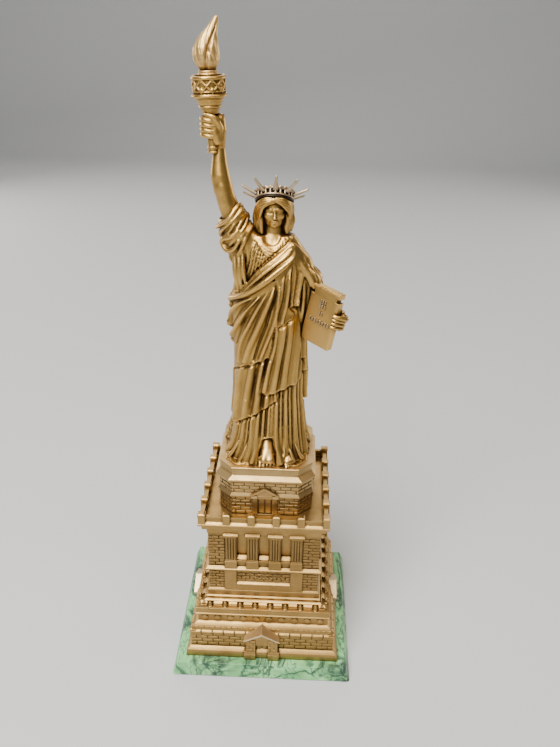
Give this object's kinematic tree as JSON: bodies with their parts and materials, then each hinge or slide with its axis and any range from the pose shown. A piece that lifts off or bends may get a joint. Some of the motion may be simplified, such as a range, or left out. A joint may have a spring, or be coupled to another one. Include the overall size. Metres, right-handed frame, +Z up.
{
  "type": "miniature landmark model",
  "caption": "Robed figure with spiked diadem, raised torch and tablet on a stepped brick pedestal, bronze-finished castings bolted to a square green marble plate.",
  "frame": {"origin": "centre of the underside of the felt pad", "axes": "+Z up along the figure, -Y the front with the entrance and the figure's face, +X the viewer's right"},
  "size_m": [0.136, 0.136, 0.4531],
  "materials": {
    "bronze_finish": "satin",
    "dark_bronze_finish": "satin",
    "green_marble": "polished",
    "felt": "matte",
    "steel": "satin"
  },
  "bodies": {
    "root": {"arm_dowel": "steel", "crown_band": "dark_bronze_finish", "crown_ray_1": "dark_bronze_finish", "crown_ray_2": "dark_bronze_finish", "crown_ray_3": "dark_bronze_finish", "crown_ray_4": "dark_bronze_finish", "crown_ray_5": "dark_bronze_finish", "crown_ray_6": "dark_bronze_finish", "crown_ray_7": "dark_bronze_finish", "felt_pad": "felt", "figure_casting": "bronze_finish", "flame_stud": "steel", "foundation_casting": "bronze_finish", "gallery_casting": "bronze_finish", "head_casting": "bronze_finish", "left_hand": "bronze_finish", "marble_plate": "green_marble", "right_arm_casting": "bronze_finish", "tablet": "bronze_finish", "tie_rod": "steel", "tie_rod_anchor": "steel", "tie_rod_nut": "steel", "tie_rod_washer": "steel", "torch_flame": "bronze_finish", "torch_gallery": "bronze_finish", "torch_handle": "bronze_finish", "tower_casting": "bronze_finish", "upper_plinth_casting": "bronze_finish"}
  },
  "joints": []
}
